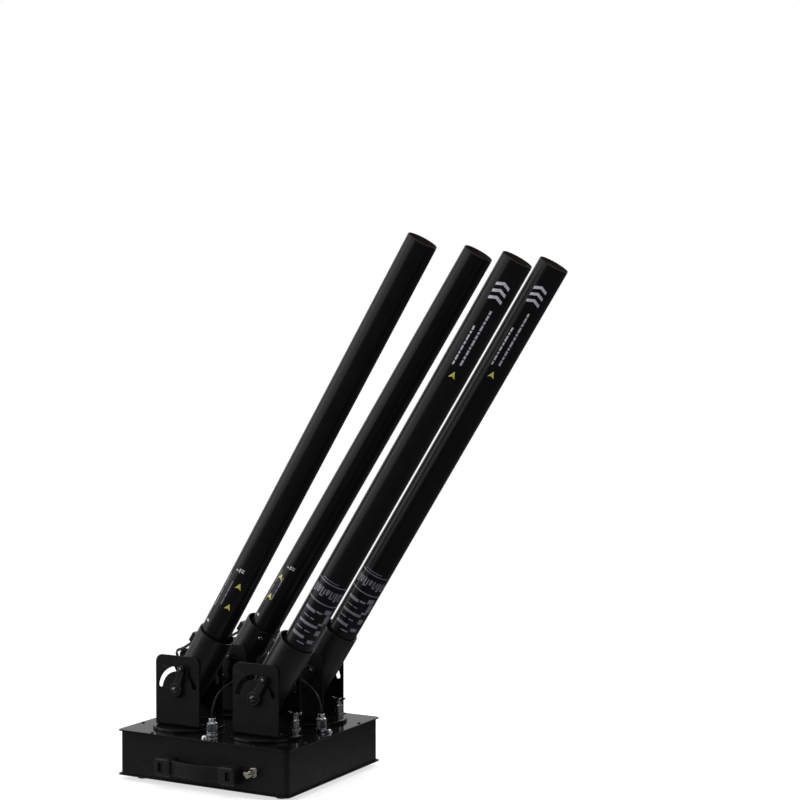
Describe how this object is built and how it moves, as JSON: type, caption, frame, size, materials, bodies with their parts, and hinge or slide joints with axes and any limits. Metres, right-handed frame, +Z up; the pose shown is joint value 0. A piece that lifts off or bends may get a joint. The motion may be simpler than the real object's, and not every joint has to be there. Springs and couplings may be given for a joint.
{
  "type": "confetti launcher",
  "caption": "Low steel base box with swivelling and tilting cup holders for long, electrically fired confetti tubes, with a strap handle.",
  "frame": {"origin": "centre of the underside of the base's bottom plate; the feet reach 8 mm below it", "axes": "+Z up, +X the way the tubes lean, -Y the front wall with the carrying handle"},
  "size_m": [0.6838, 0.3077, 0.8559],
  "materials": {
    "black_steel": "black powder coat, satin",
    "gloss_steel": "black lacquer, glossy",
    "tube_wrap": "glossy black wrap over a board tube",
    "rubber": "matt black",
    "black_plastic": "moulded black",
    "zinc_steel": "zinc plated",
    "chrome": "bright chrome",
    "brass": "nickel over brass, warm tint"
  },
  "bodies": {
    "base": {"base_shell": "black_steel", "bottom_plate": "black_steel", "control_panel": "black_plastic", "earth_terminal": "brass", "foot_bl": "rubber", "foot_br": "rubber", "foot_fl": "rubber", "foot_fr": "rubber", "handle_cap_left": "black_plastic", "handle_cap_right": "black_plastic", "handle_strap": "rubber", "lead_lower_bl": "rubber", "lead_lower_br": "rubber", "lead_lower_fl": "rubber", "lead_lower_fr": "rubber", "lead_socket_bl": "zinc_steel", "lead_socket_br": "zinc_steel", "lead_socket_fl": "zinc_steel", "lead_socket_fr": "zinc_steel", "power_inlet": "black_plastic", "power_supply": "zinc_steel", "signal_in": "black_plastic", "signal_out": "black_plastic", "top_plate": "gloss_steel"},
    "fl_swivel": {"turntable_fl": "black_steel", "bracket_fl": "black_steel", "pivot_bolt_fl": "chrome", "lead_upper_fl": "rubber"},
    "fl_lever": {"clamp_lever_fl": "black_plastic"},
    "fl_plunger": {"plunger_fl": "zinc_steel"},
    "fl_holder": {"holder_fl": "gloss_steel"},
    "fl_tube": {"tube_fl": "tube_wrap"},
    "bl_swivel": {"turntable_bl": "black_steel", "bracket_bl": "black_steel", "pivot_bolt_bl": "chrome", "lead_upper_bl": "rubber"},
    "bl_lever": {"clamp_lever_bl": "black_plastic"},
    "bl_plunger": {"plunger_bl": "zinc_steel"},
    "bl_holder": {"holder_bl": "gloss_steel"},
    "bl_tube": {"tube_bl": "tube_wrap"},
    "fr_swivel": {"turntable_fr": "black_steel", "bracket_fr": "black_steel", "pivot_bolt_fr": "chrome", "lead_upper_fr": "rubber"},
    "fr_lever": {"clamp_lever_fr": "black_plastic"},
    "fr_plunger": {"plunger_fr": "zinc_steel"},
    "fr_holder": {"holder_fr": "gloss_steel"},
    "fr_tube": {"tube_fr": "tube_wrap"},
    "br_swivel": {"turntable_br": "black_steel", "bracket_br": "black_steel", "pivot_bolt_br": "chrome", "lead_upper_br": "rubber"},
    "br_lever": {"clamp_lever_br": "black_plastic"},
    "br_plunger": {"plunger_br": "zinc_steel"},
    "br_holder": {"holder_br": "gloss_steel"},
    "br_tube": {"tube_br": "tube_wrap"},
    "button_1_cap": {"button_1": "black_plastic"},
    "button_2_cap": {"button_2": "black_plastic"},
    "button_3_cap": {"button_3": "black_plastic"},
    "button_4_cap": {"button_4": "black_plastic"}
  },
  "joints": [
    {"name": "fl_pan", "type": "hinge", "parent": "base", "child": "fl_swivel", "pos_m": [-0.074, -0.066, 0.072], "axis": [0, 0, 1], "range_deg": [-45, 4], "deforming": ["lead_lower_fl"]},
    {"name": "fl_tilt", "type": "hinge", "parent": "fl_swivel", "child": "fl_holder", "pos_m": [-0.074, -0.066, 0.136], "axis": [0, -1, 0], "range_deg": [-4, 96], "deforming": ["lead_upper_fl"]},
    {"name": "fl_clamp", "type": "hinge", "parent": "fl_swivel", "child": "fl_lever", "pos_m": [-0.074, -0.066, 0.136], "axis": [0, -1, 0], "range_deg": [-30, 60]},
    {"name": "fl_plunger_pull", "type": "slide", "parent": "fl_swivel", "child": "fl_plunger", "axis": [0, 0, 1], "range_m": [0, 0.006], "stiffness_N_per_m": 900, "springref_m": -0.004},
    {"name": "fl_tube_pull", "type": "slide", "parent": "fl_holder", "child": "fl_tube", "axis": [0.521, 0, 0.8536], "range_m": [0, 0.11]},
    {"name": "bl_pan", "type": "hinge", "parent": "base", "child": "bl_swivel", "pos_m": [-0.074, 0.066, 0.072], "axis": [0, 0, -1], "range_deg": [-45, 4], "deforming": ["lead_lower_bl"]},
    {"name": "bl_tilt", "type": "hinge", "parent": "bl_swivel", "child": "bl_holder", "pos_m": [-0.074, 0.066, 0.136], "axis": [0, -1, 0], "range_deg": [-4, 96], "deforming": ["lead_upper_bl"]},
    {"name": "bl_clamp", "type": "hinge", "parent": "bl_swivel", "child": "bl_lever", "pos_m": [-0.074, 0.066, 0.136], "axis": [0, -1, 0], "range_deg": [-30, 60]},
    {"name": "bl_plunger_pull", "type": "slide", "parent": "bl_swivel", "child": "bl_plunger", "axis": [0, 0, 1], "range_m": [0, 0.006], "stiffness_N_per_m": 900, "springref_m": -0.004},
    {"name": "bl_tube_pull", "type": "slide", "parent": "bl_holder", "child": "bl_tube", "axis": [0.5446, 0, 0.8387], "range_m": [0, 0.11]},
    {"name": "fr_pan", "type": "hinge", "parent": "base", "child": "fr_swivel", "pos_m": [0.074, -0.066, 0.072], "axis": [0, 0, 1], "range_deg": [-45, 4], "deforming": ["lead_lower_fr"]},
    {"name": "fr_tilt", "type": "hinge", "parent": "fr_swivel", "child": "fr_holder", "pos_m": [0.074, -0.066, 0.136], "axis": [0, -1, 0], "range_deg": [-36, 5], "deforming": ["lead_upper_fr"]},
    {"name": "fr_clamp", "type": "hinge", "parent": "fr_swivel", "child": "fr_lever", "pos_m": [0.074, -0.066, 0.136], "axis": [0, -1, 0], "range_deg": [-30, 60]},
    {"name": "fr_plunger_pull", "type": "slide", "parent": "fr_swivel", "child": "fr_plunger", "axis": [0, 0, 1], "range_m": [0, 0.006], "stiffness_N_per_m": 900, "springref_m": -0.004},
    {"name": "fr_tube_pull", "type": "slide", "parent": "fr_holder", "child": "fr_tube", "axis": [0.5373, 0, 0.8434], "range_m": [0, 0.11]},
    {"name": "br_pan", "type": "hinge", "parent": "base", "child": "br_swivel", "pos_m": [0.074, 0.066, 0.072], "axis": [0, 0, -1], "range_deg": [-45, 4], "deforming": ["lead_lower_br"]},
    {"name": "br_tilt", "type": "hinge", "parent": "br_swivel", "child": "br_holder", "pos_m": [0.074, 0.066, 0.136], "axis": [0, -1, 0], "range_deg": [-36, 5], "deforming": ["lead_upper_br"]},
    {"name": "br_clamp", "type": "hinge", "parent": "br_swivel", "child": "br_lever", "pos_m": [0.074, 0.066, 0.136], "axis": [0, -1, 0], "range_deg": [-30, 60]},
    {"name": "br_plunger_pull", "type": "slide", "parent": "br_swivel", "child": "br_plunger", "axis": [0, 0, 1], "range_m": [0, 0.006], "stiffness_N_per_m": 900, "springref_m": -0.004},
    {"name": "br_tube_pull", "type": "slide", "parent": "br_holder", "child": "br_tube", "axis": [0.5373, 0, 0.8434], "range_m": [0, 0.11]},
    {"name": "button_1_press", "type": "slide", "parent": "base", "child": "button_1_cap", "axis": [0, -1, 0], "range_m": [0, 0.0012], "stiffness_N_per_m": 500, "springref_m": -0.0005},
    {"name": "button_2_press", "type": "slide", "parent": "base", "child": "button_2_cap", "axis": [0, -1, 0], "range_m": [0, 0.0012], "stiffness_N_per_m": 500, "springref_m": -0.0005},
    {"name": "button_3_press", "type": "slide", "parent": "base", "child": "button_3_cap", "axis": [0, -1, 0], "range_m": [0, 0.0012], "stiffness_N_per_m": 500, "springref_m": -0.0005},
    {"name": "button_4_press", "type": "slide", "parent": "base", "child": "button_4_cap", "axis": [0, -1, 0], "range_m": [0, 0.0012], "stiffness_N_per_m": 500, "springref_m": -0.0005}
  ]
}
